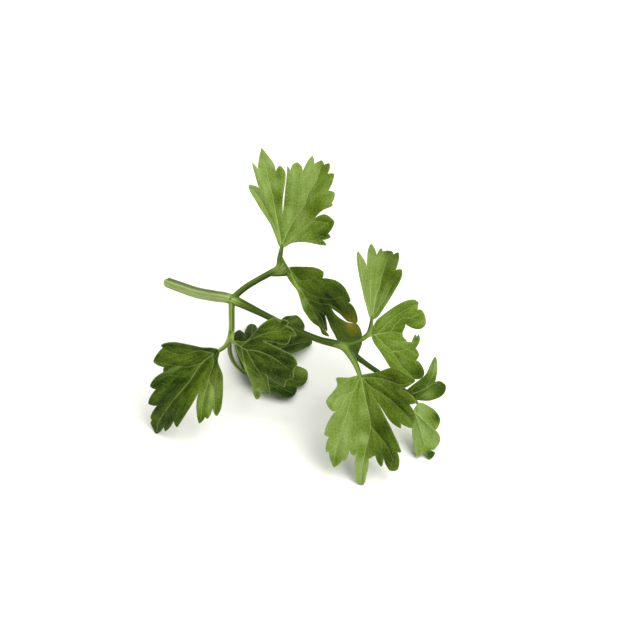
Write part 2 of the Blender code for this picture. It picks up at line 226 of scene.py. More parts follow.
ring_record = []
for ribs, paleness, facing, leaf, route in TUBES:
    if leaf:
        under = seated(leaf, [(0, ahead, below) for ahead, below, _ in RUN_ON])
        route = route + [(*spot, radius) for spot, (_, _, radius) in zip(under.tolist(), RUN_ON)]
    ring_record += ribbed_tube(route, ribs, paleness, facing)
for across in (0.25, 0.5, 0.75):
    strand = [(*web_spot(out, across).tolist(), STRAND) for out in (0.1, 0.4, 0.7, 1.0)]
    ring_record += ribbed_tube(strand, 5, (0.1, 0.3), FORWARDS)
as_object(*web_slab())
bpy.ops.object.join()
stalk = bpy.context.view_layer.objects.active
stalk.name = stalk.data.name = "stalk"
stalk.data.remesh_voxel_size = STALK_VOXEL
bpy.ops.object.voxel_remesh()
stalk.modifiers.new("soften", "SMOOTH").iterations = 3
bpy.ops.object.modifier_apply(modifier="soften")
bpy.ops.object.shade_smooth()

# Each point of the fused skin takes its values from the nearest ring of the tubes it was made of.
nearest = kdtree.KDTree(len(ring_record))
for i, ring in enumerate(ring_record):
    nearest.insert(ring[0], i)
nearest.balance()
spots = np.array([vertex.co for vertex in stalk.data.vertices]) / MM - SPRIG_AT
ridge, channel, grain, pale = [], [], [], []
for spot in spots:
    here, side, upward, radius, walked, ribs, paleness = ring_record[nearest.find(spot)[1]]
    offset = Vector(spot) - here
    angle = math.atan2(offset.dot(upward), offset.dot(side))
    ridge.append(0.5 + 0.5 * math.cos(angle * ribs))
    channel.append(math.exp(-((angle - math.pi / 2) / TINT_SPREAD) ** 2))
    grain.append((math.cos(angle) * radius, math.sin(angle) * radius, walked))
    pale.append(paleness)
fork_gap = np.min([np.linalg.norm(spots - fork, axis=1) for fork in FORKS], axis=0)
cut_gap = (spots - CUT_AT) @ CUT_FACES
add_values(stalk.data, "ridge", ridge)
add_values(stalk.data, "channel", channel * np.clip(fork_gap / FORK_CLEAR, 0, 1))
add_values(stalk.data, "grain", grain)
add_values(stalk.data, "pale", pale)
add_values(stalk.data, "fork", np.exp(-(fork_gap / FORK_PALE) ** 2))
add_values(stalk.data, "cut", np.clip(1 - np.abs(cut_gap) / CUT_REACH, 0, 1))

# Fresh parsley stalk: watery green tissue under a thin waxy skin. The ribs are pale strands of
# tough tissue with darker green furrows between; the skin has a satin gloss, and light soaks in.
# Its streaks are about 0.6 mm wide and 8 mm long, and its cells are drawn coarse enough to show.
stalk_skin = bpy.data.materials.new("fresh_stalk_skin")
stalk_skin.use_nodes = True
tree = stalk_skin.node_tree
shader = tree.nodes["Principled BSDF"]
ridge_value, channel_value, pale_value, fork_value, cut_value = (
    add(tree, "ShaderNodeAttribute", attribute_name=name).outputs["Fac"]
    for name in ("ridge", "channel", "pale", "fork", "cut"))
grain_place = add(tree, "ShaderNodeAttribute", attribute_name="grain").outputs["Vector"]
streak_place = add(tree, "ShaderNodeMapping", {"Scale": (1.6, 1.6, 0.12)}, {"Vector": grain_place})
streaks = add(tree, "ShaderNodeTexNoise", {"Scale": 1.0, "Detail": 3.0}, {"Vector": streak_place.outputs[0]})
# Its green from dark to pale with the tubes' paleness: partly its own colour, partly painted light and shade.
pale_and_shaded_green = add(tree, "ShaderNodeValToRGB", None, {0: pale_value})
pale_and_shaded_green.color_ramp.elements[0].color = linear("2A4002")
pale_and_shaded_green.color_ramp.elements[1].color = linear("AEC478")
pale_and_shaded_green.color_ramp.elements.new(0.5).color = linear("768E36")
streak_share = add(tree, "ShaderNodeMapRange", {1: 0.35, 2: 0.7, 4: 0.45}, {0: streaks.outputs["Fac"]})
pale_rib = add(tree, "ShaderNodeMath", None, {0: ridge_value, 1: pale_value}, operation="MULTIPLY")
colour = pale_and_shaded_green.outputs[0]
for share, most, tint in ((streak_share.outputs[0], 1.0, "243A06"), (pale_rib.outputs[0], 0.4, "A9C070"),
                          (channel_value, 0.85, "1E3204"), (fork_value, 0.25, "9CB45E"),
                          (cut_value, 1.0, "C9D2A0")):
    share = add(tree, "ShaderNodeMath", {1: most}, {0: share}, operation="MULTIPLY").outputs[0]
    colour = add(tree, "ShaderNodeMix", {7: linear(tint)}, {0: share, 6: colour}, data_type="RGBA").outputs[2]
tree.links.new(colour, shader.inputs["Base Color"])
cells = add(tree, "ShaderNodeTexNoise", {"Scale": 3.0, "Detail": 2.0}, {"Vector": grain_place})
skin_bump = add(tree, "ShaderNodeBump", {"Strength": 0.3, "Distance": 0.0001},
                {"Height": cells.outputs["Fac"]})
tree.links.new(skin_bump.outputs[0], shader.inputs["Normal"])
shader.inputs["Roughness"].default_value = 0.42
shader.inputs["IOR"].default_value = 1.42
shader.inputs["Specular IOR Level"].default_value = 0.12
shader.inputs["Subsurface Weight"].default_value = 0.25
shader.inputs["Subsurface Radius"].default_value = (0.4, 0.6, 0.15)
shader.inputs["Subsurface Scale"].default_value = 0.001
stalk.data.materials.append(stalk_skin)
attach(stalk, "root")
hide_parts("main_stalk", "upper_branch", "arched_leaf_stalk", "lower_branch", "right_branch",
            "front_leaf_stalk", "floor_leaf_stalk")


# ---- The leaflets ----
# A leaflet is a thin, springy blade cut into toothed lobes, with its main veins fanning out from its
# stalk. They lie in furrows above and stand out as ribs beneath, and the green between is softly
# quilted. Each blade is two skins and the rounded margin that joins them.
MARGIN_STEP, GRID_STEP, VEIN_STEP = 0.3, 0.42, 0.35
BLADE, MARGIN_BLADE, ROUNDING = 0.26, 0.14, 0.05    # thickness inside and at the margin, and its swell
# Each kind of vein, from the midrib to the small side veins: its half-width where it starts and ends,
# and how strongly it shows.
VEINS = [((0.14, 0.05), 1.0), ((0.12, 0.05), 0.7), ((0.08, 0.04), 0.26), ((0.06, 0.03), 0.08)]
MAIN_ROWS, TOOTH_ROWS = (0, 0.14, -0.14, 0.34, -0.34), (0, 0.15, -0.15)     # points beside a vein
CORNER = 50                 # a margin that turns further than this in degrees has a tip or a notch
BULGE, SLIT_BULGE = 17, 3   # how far the flank of a tooth swells from the straight, in degrees
SHARP = 155                 # a turn past this is a slit, whose sides stay nearly straight
HANDLE = 1.6                # the longest pull that a corner has on its flanks
TIP_SIDE, SERVED = 0.9, 2.2     # a tooth with shorter sides, or this near a main vein's end, gets no vein
TOOTH_SLANT = 34            # the slant in degrees at which a tooth's vein likes to leave its parent
SIDE_SPACING, SIDE_SLANT, SIDE_ROOM = 2.1, 42, 0.45     # of the small veins, and how clear they stay
QUILT, QUILT_REACH = 0.08, 0.8      # how high the green rises between veins, and how soon
APART, OFF_MARGIN, FIRST_ROW = 0.12, 0.13, 0.22     # of the points inside, and the row along the margin


def turned(direction, degrees):
    """A flat direction turned to the left."""
    return Matrix.Rotation(math.radians(degrees), 2) @ direction


def tooth_margin(outline):
    """The margin as a closed ring of points: swollen flanks, rounded tips, sharp notches. Also the tips."""
    corners = [Vector(corner) for corner in outline]
    count = len(corners)
    if sum(corners[i - 1].cross(corners[i]) for i in range(count)) < 0:
        corners.reverse()
    sides = [(corners[(i + 1) % count] - corners[i]) for i in range(count)]
    turns = [math.degrees(sides[i - 1].angle_signed(sides[i])) * -1 for i in range(count)]
    ring, notch, tips = [], [], []
    for i, side in enumerate(sides):
        j = (i + 1) % count
        chord, length = side.normalized(), side.length
        swell = BULGE if max(-turns[i], -turns[j]) < SHARP else SLIT_BULGE
        leave = turned(chord, -swell) if abs(turns[i]) > CORNER else (sides[i - 1].normalized() + chord)
        reach = turned(chord, swell) if abs(turns[j]) > CORNER else (sides[j].normalized() + chord)
        handle = min(length / 3, HANDLE)
        a, d = corners[i], corners[j]
        b, c = a + leave.normalized() * handle, d - reach.normalized() * handle
        steps = max(2, round(length / MARGIN_STEP))
        for t in (k / steps for k in range(steps)):
            notch.append(t == 0 and turns[i] < -CORNER)
            ring.append(a * (1 - t) ** 3 + b * 3 * t * (1 - t) ** 2 + c * 3 * t * t * (1 - t) + d * t ** 3)
        if turns[i] > CORNER and min(length, sides[i - 1].length) > TIP_SIDE:
            tips.append(corners[i])
    for _ in range(2):
        ring = [p if notch[i] else (ring[i - 1] + 2 * p + ring[(i + 1) % len(ring)]) / 4
                for i, p in enumerate(ring)]
    return np.array(ring), [np.array(tip) for tip in tips]


def is_inside(points, ring):
    """Which of the points are inside a closed ring."""
    points = np.asarray(points, float)
    ends = np.roll(ring, -1, axis=0)
    x, y = points[:, 0, None], points[:, 1, None]
    spans = (ring[:, 1] > y) != (ends[:, 1] > y)
    rise = np.where(ends[:, 1] == ring[:, 1], 1e-9, ends[:, 1] - ring[:, 1])
    crossing = ring[:, 0] + (y - ring[:, 1]) / rise * (ends[:, 0] - ring[:, 0])
    return (spans & (x < crossing)).sum(1) % 2 == 1


def nearest_line(points, starts, ends):
    """For each point the distance to the nearest of some lines, which one, and how far along it."""
    best = []
    run = ends - starts
    for part in np.array_split(np.asarray(points, float), max(1, len(points) // 1000)):
        offset = part[:, None] - starts
        share = np.clip((offset * run).sum(2) / np.maximum((run * run).sum(1), 1e-12), 0, 1)
        gap = np.linalg.norm(offset - share[..., None] * run, axis=2)
        pick = gap.argmin(1)
        rows = np.arange(len(part))
        best.append(np.column_stack([gap[rows, pick], pick, share[rows, pick]]))
    best = np.vstack(best)
    return best[:, 0], best[:, 1].astype(int), best[:, 2]


def margin_gap(points, ring):
    """How far each point is from the margin."""
    return nearest_line(points, ring, np.roll(ring, -1, axis=0))[0]


def smooth_vein(vein):
    """A vein's points evenly spaced on a smooth curve, with no sharp turns."""
    return np.array([point.to_2d() for point in smooth_route([(*p, 0) for p in vein], VEIN_STEP)])


def branch_vein(start, heading, end):
    """A side vein that leaves its parent vein at a slant and curves to its end."""
    reach = np.linalg.norm(end - start)
    bow = start + heading * reach * 0.45
    t = np.linspace(0, 1, max(3, round(reach / VEIN_STEP)))[:, None]
    return start * (1 - t) ** 2 + bow * 2 * t * (1 - t) + end * t * t


def tooth_veins(mains, tips, ring):
    """One vein for each tooth that no main vein serves, from the parent that it leaves at a natural slant.
    Of the places to leave from, the best has a slant near the usual one and is near the tooth."""
    made = []
    for tip in tips:
        if min(np.linalg.norm(vein[-1] - tip) for vein in mains) < SERVED:
            continue
        choices = []
        for vein in mains + made:
            for i in range(1, len(vein) - 2):
                heading = (vein[i + 1] - vein[i - 1]) / np.linalg.norm(vein[i + 1] - vein[i - 1])
                reach = np.linalg.norm(tip - vein[i])
                cosine = (tip - vein[i]) @ heading / max(reach, 1e-6)
                slant = math.degrees(math.acos(np.clip(cosine, -1, 1)))
                choices.append((abs(slant - TOOTH_SLANT) / 8 + reach / 9, i, heading, vein))
        choices.sort(key=lambda choice: choice[0])
        for _, i, heading, vein in choices[:60]:
            branch = branch_vein(vein[i], heading, tip + (vein[i] - tip) * 0.06)
            if is_inside(branch[1:], ring).all():
                made.append(branch)
                break
    return made


def side_veins(parents, ring, seed):
    """Small veins in turn left and right of their parents, which stop short of the margin and each other."""
    made = []
    for number, vein in enumerate(parents):
        walked = 0.0
        side = 1 if (number + seed) % 2 else -1
        for i in range(2, len(vein) - 2):
            walked += np.linalg.norm(vein[i] - vein[i - 1])
            if walked < SIDE_SPACING:
                continue
            walked = 0.0
            side = -side
            heading = Vector(vein[i + 1] - vein[i - 1]).normalized()
            out = np.array(turned(heading, SIDE_SLANT * side))
            others = [v for v in parents if v is not vein]
            stops = np.vstack([np.vstack(others), ring]) if others else ring
            path = [vein[i] + out * step for step in np.arange(0.6, 9, 0.3)]
            blocked = np.nonzero(nearest_line(path, stops, stops)[0] < SIDE_ROOM)[0]
            length = 0.6 + 0.3 * (blocked[0] - 1 if len(blocked) else len(path) - 1)
            end = vein[i] + out * length * 0.9
            if length > 1.3 and is_inside([end], ring)[0]:
                made.append(branch_vein(vein[i], np.array(heading), end))
    return made


def vein_lines(veins, widths):
    """The pieces of some veins with the half-width of each end."""
    rows = []
    for vein in veins:
        width = np.interp(np.linspace(0, 1, len(vein)), (0, 1), widths)
        rows.append(np.column_stack([vein[:-1], vein[1:], width[:-1], width[1:]]))
    return np.vstack(rows) if rows else np.empty((0, 6))


def beside_vein(vein, offsets):
    """Rows of points along a vein at some distances to either side of it."""
    run = np.gradient(vein, axis=0)
    across = np.column_stack([-run[:, 1], run[:, 0]]) / np.linalg.norm(run, axis=1)[:, None]
    return np.vstack([vein + across * offset for offset in offsets])


def thinned(points, spacing):
    """The points, less those too close to one already kept."""
    kept, cells = [], {}
    for x, y in points:
        column, row = math.floor(x / spacing), math.floor(y / spacing)
        close = (spot for a in (-1, 0, 1) for b in (-1, 0, 1)
                 for spot in cells.get((column + a, row + b), ()))
        if all((x - u) ** 2 + (y - v) ** 2 > spacing * spacing for u, v in close):
            cells.setdefault((column, row), []).append((x, y))
            kept.append((x, y))
    return kept


def bent(spots, crease, toward, angle, radius):
    """The blade past a crease rolled over a cylinder by an angle, up if positive and down if negative."""
    ahead = np.array((math.cos(math.radians(toward)), math.sin(math.radians(toward))))
    along = np.array((-ahead[1], ahead[0]))
    offset = spots[:, :2] - crease
    past, beside = offset @ ahead, offset @ along
    turn, side = math.radians(abs(angle)), math.copysign(1, angle)
    height = spots[:, 2] * side
    rolled = np.clip(past / radius, 0, turn)
    straight = np.maximum(past - radius * turn, 0)
    forward = (radius - height) * np.sin(rolled) + straight * math.cos(turn)
    raised = radius - (radius - height) * np.cos(rolled) + straight * math.sin(turn)
    forward, raised = np.where(past > 0, forward, past), np.where(past > 0, raised, height)
    flat = np.asarray(crease) + np.outer(forward, ahead) + np.outer(beside, along)
    return np.column_stack([flat, raised * side])


def ripple(points, scale, seed):
    """Smooth random heights between -1 and 1 over some points, with waves about a scale across."""
    return np.array([noise.noise(Vector((x / scale, y / scale, seed * 7.3))) for x, y in points])


def blade_points(ring, mains, teeth, fine):
    """Points that fill a blade, closest along its margin and its veins, and the triangles between them."""
    rows = [beside_vein(vein, MAIN_ROWS) for vein in mains]
    rows += [beside_vein(vein, TOOTH_ROWS) for vein in teeth] + fine
    low, high = ring.min(0), ring.max(0)
    columns, ranks = np.meshgrid(np.arange(low[0], high[0], GRID_STEP),
                                 np.arange(low[1], high[1], GRID_STEP * math.sqrt(0.75)))
    columns[1::2] += GRID_STEP / 2
    edge = np.roll(ring, -1, axis=0) - np.roll(ring, 1, axis=0)
    inward = np.column_stack([-edge[:, 1], edge[:, 0]]) / np.linalg.norm(edge, axis=1)[:, None]
    rows += [ring + inward * FIRST_ROW, np.column_stack([columns.ravel(), ranks.ravel()])]
    inner = np.vstack(rows)
    inner = inner[is_inside(inner, ring)]
    inner = thinned(inner[margin_gap(inner, ring) > OFF_MARGIN].tolist(), APART)
    flat, _, faces, _, _, _ = geometry.delaunay_2d_cdt([Vector(p) for p in ring.tolist() + inner], [],
                                                       [list(range(len(ring)))], 1, 1e-6)
    return np.array(flat), faces


def blade_relief(flat, from_margin, lines, keel, wave, seed):
    """For each point of a blade, how strongly a vein shows there, how high the blade's middle is, and how
    far a rib stands out under it. A vein lies in a furrow, and the blade rises beside it."""
    shows, furrow, rib = (np.zeros(len(flat)) for _ in range(3))
    from_any, from_main = np.full(len(flat), 9.0), np.full(len(flat), 99.0)
    for rank, (pieces, (_, strength)) in enumerate(zip(lines, VEINS)):
        if len(pieces):
            gap, pick, share = nearest_line(flat, pieces[:, :2], pieces[:, 2:4])
            width = pieces[pick, 4] * (1 - share) + pieces[pick, 5] * share
            fade = (width / pieces[:, 4].max()) ** 0.6
            shows = np.maximum(shows, np.exp(-(gap / width) ** 2) * fade * strength)
            furrow = np.maximum(furrow, np.exp(-(gap / (width * 1.6)) ** 2) * width * 0.5)
            rib = np.maximum(rib, np.exp(-(gap / (width * 1.5)) ** 2) * width * 1.6)
            from_any = np.minimum(from_any, gap + (0.25 if rank == 3 else 0))
            if rank < 2:
                from_main = np.minimum(from_main, gap)
    # From 2 to 14 mm from its base the whole blade sinks back by three quarters of the keel.
    settled = np.clip((np.linalg.norm(flat, axis=1) - 2) / 12, 0, 1)
    middle = (keel * (1 - np.exp(-from_main / 3.0) - 0.75 * settled * settled * (3 - 2 * settled))
              + QUILT * (1 - np.exp(-(from_any / QUILT_REACH) ** 2))
              + wave * ripple(flat, 7.0, seed) * np.clip(from_main / 4, 0, 1)
              + wave * 0.5 * ripple(flat, 3.0, seed + 5) * np.exp(-from_margin / 1.8)
              - 0.12 * np.exp(-(from_margin / 0.5) ** 2) - furrow)
    return shows, middle, rib


def margin_edges(faces):
    """The edges that belong to one triangle only, which run round the margin."""
    shared = {}
    for face in faces:
        for i in range(3):
            a, b = face[i - 1], face[i]
            shared.setdefault((min(a, b), max(a, b)), []).append((a, b))
    return [pairs[0] for pairs in shared.values() if len(pairs) == 1]


def nearness(flat, x, y, radius):
    """How near each point is to a place: 1 on it, and fading out past a radius."""
    return np.exp(-(np.hypot(flat[:, 0] - x, flat[:, 1] - y) / radius) ** 2)


def grow_leaflet(name, outline, veins, bends, tone, keel, seed, wave=0.45, rim=0.12, shades=(), spots=()):
    """A leaflet from its flat outline and main veins, each from the base. Keel is how far a lobe rises from
    its vein, wave how far it undulates, tone how light its green is and rim how strong the painted pale
    highlight along its margin is. The tone is partly the blade's own colour and partly painted light and
    shade. Shades are places (x, y, radius, amount) where the green is painted lighter or darker: mostly
    painted light and shade of lobes, folds and curls, partly its own patchy colour. Spots (x, y, radius)
    are where it yellows."""
    ring, tips = tooth_margin(outline)
    mains = [smooth_vein(vein) for vein in veins]
    teeth = tooth_veins(mains, tips, ring)
    fine = side_veins(mains + teeth, ring, seed)
    kinds = (mains[:1], mains[1:], teeth, fine)
    lines = [vein_lines(kind, widths) for kind, (widths, _) in zip(kinds, VEINS)]
    flat, faces = blade_points(ring, mains, teeth, fine)
    count = len(flat)
    from_margin = margin_gap(flat, ring)
    shows, middle, rib = blade_relief(flat, from_margin, lines, keel, wave, seed)
    half = (MARGIN_BLADE + (BLADE - MARGIN_BLADE) * np.clip(from_margin / 1.5, 0, 1)) / 2

    open_edges = margin_edges(faces)
    rims = [a for a, _ in open_edges]
    rim_of = {a: i for i, a in enumerate(rims)}
    outward = {a: np.zeros(2) for a in rims}
    for a, b in open_edges:
        run = flat[b] - flat[a]
        for end in (a, b):
            outward[end] = outward[end] + np.array((run[1], -run[0]))
    push = np.array([outward[a] / max(np.linalg.norm(outward[a]), 1e-9) for a in rims]) * ROUNDING
    shape = np.vstack([np.column_stack([flat, middle + half]), np.column_stack([flat, middle - half - rib]),
                       np.column_stack([flat[rims] + push, middle[rims]])])
    for bend in bends:
        shape = bent(shape, *bend)
    corners = (seated(name, shape) + SPRIG_AT) * MM
    skins = [tuple(face) for face in faces] + [tuple(count + i for i in reversed(face)) for face in faces]
    for a, b in open_edges:
        skins.append((a, 2 * count + rim_of[a], 2 * count + rim_of[b], b))
        skins.append((count + b, 2 * count + rim_of[b], 2 * count + rim_of[a], count + a))
    mesh = bpy.data.meshes.new(name + "_blade")
    mesh.from_pydata(corners.tolist(), [], skins)
    mesh.materials.append(blade_upper)
    mesh.materials.append(blade_under)
    mesh.polygons.foreach_set("material_index",
                              [0] * len(faces) + [1] * len(faces) + [0, 1] * len(open_edges))
    mesh.shade_smooth()

    yellow = np.zeros(count)
    for spot in spots:
        yellow = np.maximum(yellow, nearness(flat, *spot))
    # The lightness of the green: partly the blade's own colour, partly painted light and shade.
    green = np.full(count, float(tone))
    for *place, amount in shades:
        green += amount * nearness(flat, *place)
    # A painted pale highlight along the margin, where the thin edge catches the light.
    painted_rim_highlight = np.exp(-(from_margin / 0.22) ** 2) * rim
    fan = np.column_stack([np.arctan2(flat[:, 0], flat[:, 1] + 3) * 12,
                           np.hypot(flat[:, 0], flat[:, 1] + 3) / 9, np.full(count, seed * 7.3)])
    patch = np.column_stack([flat / PATCH_MM, np.full(count, seed * 3.1)])
    for layer, values in (("vein", shows), ("edge", painted_rim_highlight), ("yellow", yellow), ("tone", green),
                          ("fan", fan), ("patch", patch)):
        add_values(mesh, layer, np.concatenate([values, values, values[rims]]))
    flat_map = np.vstack([flat, flat, flat[rims]]) * 0.01 + 0.5
    order = np.empty(len(mesh.loops), dtype=np.int32)
    mesh.loops.foreach_get("vertex_index", order)
    mesh.uv_layers.new(name="blade").data.foreach_set("uv", flat_map[order].astype(np.float32).ravel())
    blade = bpy.data.objects.new(name + "_blade", mesh)
    bpy.context.scene.collection.objects.link(blade)
    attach(blade, "root")
    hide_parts(name)


# Fresh parsley blade, upper side: deep green tissue under a thin waxy skin with a soft gloss.
# Paler veins stand in a fine net about a millimetre across, the green varies in soft patches, in
# streaks that fan out from the base and in tiny pale specks, and a share of the light passes
# through, so a blade glows where it is lit from behind. Its under side has no dark upper tissue: it
# is paler, greyer and duller. Each blade's green runs from deep to light with its tone, which holds
# painted light and shade; the light end is greyer, a painted sheen, and a pale band along the margin
# is a painted highlight.
VEIN_NET_MM = 1.1
PATCH_MM = 3.5
blade_skins = []
# Each skin's deep, middle and light greens; the grey cast of the light green is a painted sheen.
for finish, deep, middle, light, vein_colour, gloss, glow in (
        ("parsley_blade_upper_skin", "1B3402", "5A7414", "80984F", "B4C774", 0.48, 0.20),
        ("parsley_blade_under_skin", "2C4A04", "6A8428", "8BA65A", "A2B872", 0.55, 0.22)):
    skin = bpy.data.materials.new(finish)
    skin.use_nodes = True
    tree = skin.node_tree
    shader = tree.nodes["Principled BSDF"]
    output = tree.nodes["Material Output"]
    vein_value, rim_highlight_value, tone_value, yellow_value = (
        add(tree, "ShaderNodeAttribute", attribute_name=name).outputs["Fac"]
        for name in ("vein", "edge", "tone", "yellow"))
    flat_place = add(tree, "ShaderNodeUVMap", uv_map="blade").outputs[0]
    net_place = add(tree, "ShaderNodeMapping", {"Scale": (100 / VEIN_NET_MM,) * 3}, {"Vector": flat_place})
    net = add(tree, "ShaderNodeTexVoronoi", {"Scale": 1.0}, {"Vector": net_place.outputs[0]},
              feature="DISTANCE_TO_EDGE", voronoi_dimensions="2D")
    net_line = add(tree, "ShaderNodeMapRange", {2: 0.16, 3: 1.0, 4: 0.0}, {0: net.outputs["Distance"]})
    patch_place = add(tree, "ShaderNodeAttribute", attribute_name="patch").outputs["Vector"]
    patches = add(tree, "ShaderNodeTexNoise", {"Scale": 1.0, "Detail": 4.0, "Roughness": 0.6},
                  {"Vector": patch_place})
    fan_place = add(tree, "ShaderNodeAttribute", attribute_name="fan").outputs["Vector"]
    streaks = add(tree, "ShaderNodeTexNoise", {"Scale": 1.0, "Detail": 3.0}, {"Vector": fan_place})
    patch_shift, streak_shift = (
        add(tree, "ShaderNodeMapRange", {1: 0.3, 2: 0.7, 3: -most, 4: most}, {0: source.outputs["Fac"]})
        for source, most in ((patches, 0.12), (streaks, 0.16)))
    shift = add(tree, "ShaderNodeMath", None, {0: patch_shift.outputs[0], 1: streak_shift.outputs[0]},
                operation="ADD")
    green_share = add(tree, "ShaderNodeMath", None, {0: tone_value, 1: shift.outputs[0]},
                      operation="ADD", use_clamp=True)
    green = add(tree, "ShaderNodeValToRGB", None, {0: green_share.outputs[0]})
    green.color_ramp.elements[0].color = linear(deep)
    green.color_ramp.elements[1].color = linear(light)
    green.color_ramp.elements.new(0.5).color = linear(middle)
    net_strength = add(tree, "ShaderNodeMath", {1: 0.22, 2: 0.05}, {0: green_share.outputs[0]},
                       operation="MULTIPLY_ADD")
    net_share = add(tree, "ShaderNodeMath", None, {0: net_line.outputs[0], 1: net_strength.outputs[0]},
                    operation="MULTIPLY")
    specks = add(tree, "ShaderNodeTexVoronoi", {"Scale": 1.8}, {"Vector": patch_place})
    speck_share = add(tree, "ShaderNodeMapRange", {1: 0.05, 2: 0.1, 3: 0.5, 4: 0.0},
                      {0: specks.outputs["Distance"]})
    vein_strength = add(tree, "ShaderNodeMath", {1: 0.3, 2: 0.62}, {0: green_share.outputs[0]},
                        operation="MULTIPLY_ADD")
    vein_share = add(tree, "ShaderNodeMath", None, {0: vein_value, 1: vein_strength.outputs[0]},
                     operation="MULTIPLY")
    blotches = add(tree, "ShaderNodeMapRange", {1: 0.4, 2: 0.56, 3: 0.4, 4: 1.0},
                   {0: patches.outputs["Fac"]})
    yellow_share = add(tree, "ShaderNodeMath", None, {0: yellow_value, 1: blotches.outputs[0]},
                       operation="MULTIPLY")
    colour = green.outputs[0]
    # The pale tint read from the margin attribute, last in this list, is a painted highlight.
    for share, tint in ((net_share.outputs[0], vein_colour), (speck_share.outputs[0], vein_colour),
                        (vein_share.outputs[0], vein_colour), (yellow_share.outputs[0], "BCAC2A"),
                        (rim_highlight_value, "B4C97A")):
        colour = add(tree, "ShaderNodeMix", {7: linear(tint)}, {0: share, 6: colour},
                     data_type="RGBA").outputs[2]
    tree.links.new(colour, shader.inputs["Base Color"])
    grain = add(tree, "ShaderNodeTexNoise", {"Scale": 9.0, "Detail": 2.0}, {"Vector": net_place.outputs[0]})
    relief = add(tree, "ShaderNodeMath", {1: -0.5}, {0: net_line.outputs[0]}, operation="MULTIPLY")
    relief_sum = add(tree, "ShaderNodeMath", {1: 0.15}, {0: grain.outputs["Fac"], 2: relief.outputs[0]},
                     operation="MULTIPLY_ADD")
    skin_bump = add(tree, "ShaderNodeBump", {"Strength": 0.6, "Distance": 0.0002},
                    {"Height": relief_sum.outputs[0]})
    tree.links.new(skin_bump.outputs[0], shader.inputs["Normal"])
    shader.inputs["Roughness"].default_value = gloss
    shader.inputs["IOR"].default_value = 1.42
    shader.inputs["Specular IOR Level"].default_value = 0.1
    through_colour = add(tree, "ShaderNodeMix", {0: 0.35, 7: linear("98B530")}, {6: colour}, data_type="RGBA")
    through = add(tree, "ShaderNodeBsdfTranslucent", None, {"Color": through_colour.outputs[2]})
    mixed = add(tree, "ShaderNodeMixShader", {0: glow}, {1: shader.outputs[0], 2: through.outputs[0]})
    tree.links.new(mixed.outputs[0], output.inputs["Surface"])
    blade_skins.append(skin)
blade_upper, blade_under = blade_skins

# Each leaflet's tone and shades are partly its own colour and partly painted light and shade: lobes and folds
# facing the light are painted lighter, and lobes turned away from it, and curls, darker.
# The top leaflet stands on the end of the upper branch and leans back, open to the light. Its three
# lobes part at a long slit, the lower right one hangs apart, and the tip of one tooth has dried.
grow_leaflet("leaf_top", [
    (-0.5, 0), (-4, 6.5), (-10.5, 14.5), (-12, 17.5), (-8.5, 17), (-11.5, 24.5), (-9.5, 22.5),
    (-8, 30.5), (-5, 26.5), (-4, 22.5), (-2.5, 25), (-1, 22.5), (-1, 14), (-0.5, 8.5), (-0.5, 25),
    (0.5, 23.5), (2.5, 27.5), (4, 23.5), (6, 31.5), (7, 28.5), (9, 30.5), (10, 29), (11.5, 29.5),
    (11.5, 24.5), (13.5, 24.5), (12.5, 18.5), (14.5, 18), (14, 14.5), (14.5, 14), (11.5, 12), (7, 7.5),
    (9, 9.5), (12.5, 11), (15.5, 9), (14, 5), (15, 4), (12.5, 3), (14, 1.5), (7.5, 2), (3, 1.5),
    (0.5, 0)],
    veins=[[(0, 0), (-2, 8), (-3.5, 14), (-5.5, 19.5), (-7.5, 26.5)],
           [(0, 0.5), (1.5, 5.5), (3.5, 10), (5.5, 13.5), (6.5, 17.5), (8.5, 22.5), (9, 28.5)],
           [(0.5, 0.5), (4.5, 4.5), (8.5, 8.5), (13.5, 8.5)],
           [(-0.5, 1.5), (-3.5, 7.5), (-7.5, 13.5), (-10.5, 16.5)]],
    bends=[((0, 21), 90, -24, 12), ((6, 14), 45, -22, 12), ((1, 0), 0, 22, 5), ((-1, 0), 180, 16, 5)],
    tone=0.83, keel=1.8, seed=1,
    shades=[(13, 5, 5, -0.6), (13.5, 29, 4, -0.5), (10, 14, 5, -0.3), (12, 22, 4, -0.3), (0, 3, 5, -0.15),
            (-2, 15, 2.8, -0.45), (-3.2, 22, 2.5, -0.3), (-7, 15.5, 2, 0.2)],
    spots=[(12.5, 30, 0.8)])

